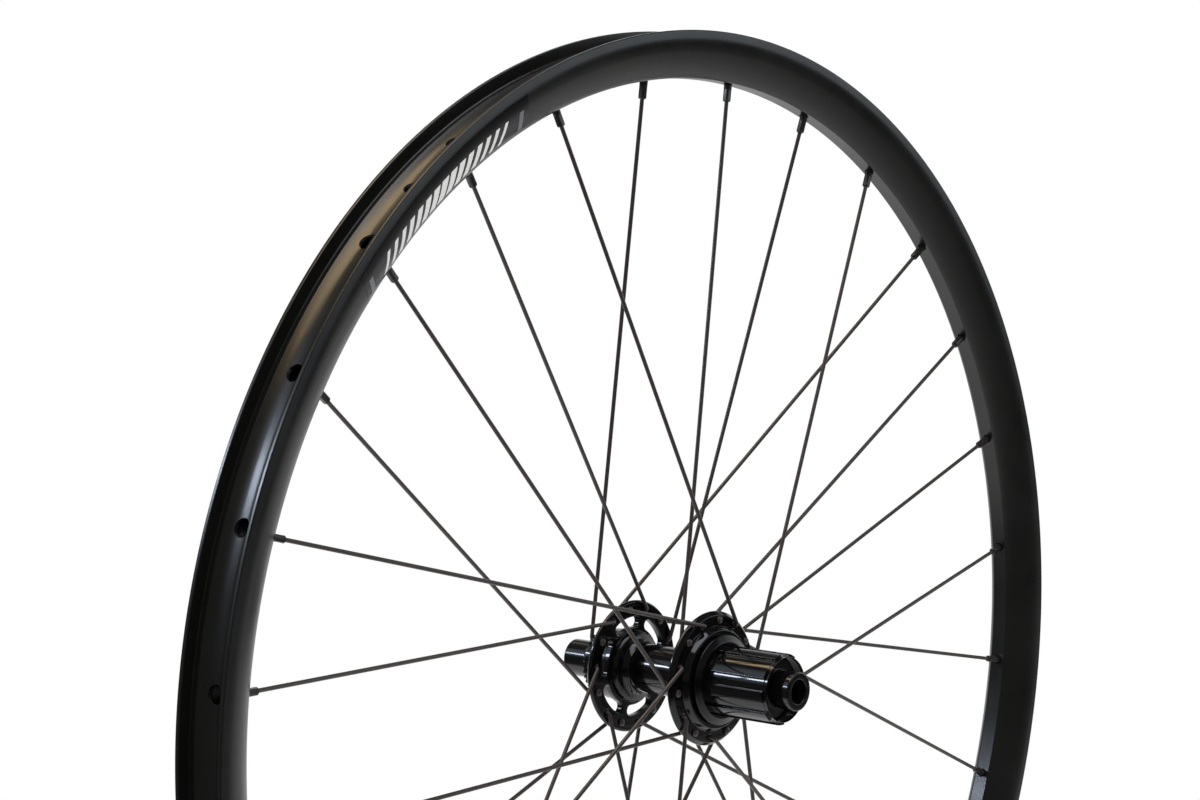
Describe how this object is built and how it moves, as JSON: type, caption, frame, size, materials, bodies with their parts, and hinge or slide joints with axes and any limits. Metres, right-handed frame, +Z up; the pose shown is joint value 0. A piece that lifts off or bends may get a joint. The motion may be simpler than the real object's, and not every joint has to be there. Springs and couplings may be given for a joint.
{
  "type": "bicycle wheel",
  "caption": "Rear bicycle wheel: hollow black alloy disc-brake rim, crossed wire spokes, through-axle hub and a splined freehub that carries the sprockets.",
  "frame": {"origin": "centre of the wheel, on the axle and midway between its two end faces", "axes": "+Y along the axle to the disc side, -Y to the drive side, +Z up, X in the plane of the rim"},
  "size_m": [0.6339, 0.142, 0.634],
  "materials": {
    "rim_anodised": "satin black anodised",
    "hub_anodised": "gloss black anodised",
    "freehub_anodised": "satin black anodised",
    "end_cap_anodised": "satin black anodised",
    "axle_alloy": "turned",
    "nipple_alloy": "black anodised",
    "spoke_steel": "black coated wire",
    "bearing_steel": "ground",
    "ratchet_steel": "hardened",
    "spring_steel": "rolled",
    "seal_rubber": "moulded"
  },
  "bodies": {
    "axle_group": {"axle": "axle_alloy", "hub_spacer": "axle_alloy", "freehub_spacer": "axle_alloy", "disc_side_end_cap": "end_cap_anodised", "drive_side_end_cap": "end_cap_anodised"},
    "wheel": {"rim": "rim_anodised", "nipples": "nipple_alloy", "spoke_01": "spoke_steel", "spoke_02": "spoke_steel", "spoke_03": "spoke_steel", "spoke_04": "spoke_steel", "spoke_05": "spoke_steel", "spoke_06": "spoke_steel", "spoke_07": "spoke_steel", "spoke_08": "spoke_steel", "spoke_09": "spoke_steel", "spoke_10": "spoke_steel", "spoke_11": "spoke_steel", "spoke_12": "spoke_steel", "spoke_13": "spoke_steel", "spoke_14": "spoke_steel", "spoke_15": "spoke_steel", "spoke_16": "spoke_steel", "spoke_17": "spoke_steel", "spoke_18": "spoke_steel", "spoke_19": "spoke_steel", "spoke_20": "spoke_steel", "spoke_21": "spoke_steel", "spoke_22": "spoke_steel", "spoke_23": "spoke_steel", "spoke_24": "spoke_steel", "spoke_25": "spoke_steel", "spoke_26": "spoke_steel", "spoke_27": "spoke_steel", "spoke_28": "spoke_steel", "hub_shell": "hub_anodised", "drive_ring": "ratchet_steel", "disc_side_bearing": "bearing_steel", "drive_side_bearing": "bearing_steel"},
    "freehub": {"freehub_body": "freehub_anodised", "inner_freehub_bearing": "bearing_steel", "outer_freehub_bearing": "bearing_steel", "pawl_springs": "spring_steel", "freehub_seal": "seal_rubber"},
    "pawl_1": {"pawl_1": "ratchet_steel"},
    "pawl_2": {"pawl_2": "ratchet_steel"},
    "pawl_3": {"pawl_3": "ratchet_steel"}
  },
  "joints": [
    {"name": "wheel_spin", "type": "hinge", "parent": "axle_group", "child": "wheel", "pos_m": [0, 0, 0], "axis": [0, 1, 0], "continuous": true},
    {"name": "freehub_spin", "type": "hinge", "parent": "axle_group", "child": "freehub", "pos_m": [0, 0, 0], "axis": [0, 1, 0], "continuous": true},
    {"name": "pawl_1_pivot", "type": "hinge", "parent": "freehub", "child": "pawl_1", "pos_m": [0.01438, -0.01895, 0.00523], "axis": [0, 1, 0], "range_deg": [-12, 0], "stiffness_Nm_per_rad": 0.005, "springref_deg": 11.46},
    {"name": "pawl_2_pivot", "type": "hinge", "parent": "freehub", "child": "pawl_2", "pos_m": [-0.01172, -0.01895, 0.00983], "axis": [0, 1, 0], "range_deg": [-12, 0], "stiffness_Nm_per_rad": 0.005, "springref_deg": 11.46},
    {"name": "pawl_3_pivot", "type": "hinge", "parent": "freehub", "child": "pawl_3", "pos_m": [-0.00266, -0.01895, -0.01507], "axis": [0, 1, 0], "range_deg": [-12, 0], "stiffness_Nm_per_rad": 0.005, "springref_deg": 11.46}
  ]
}
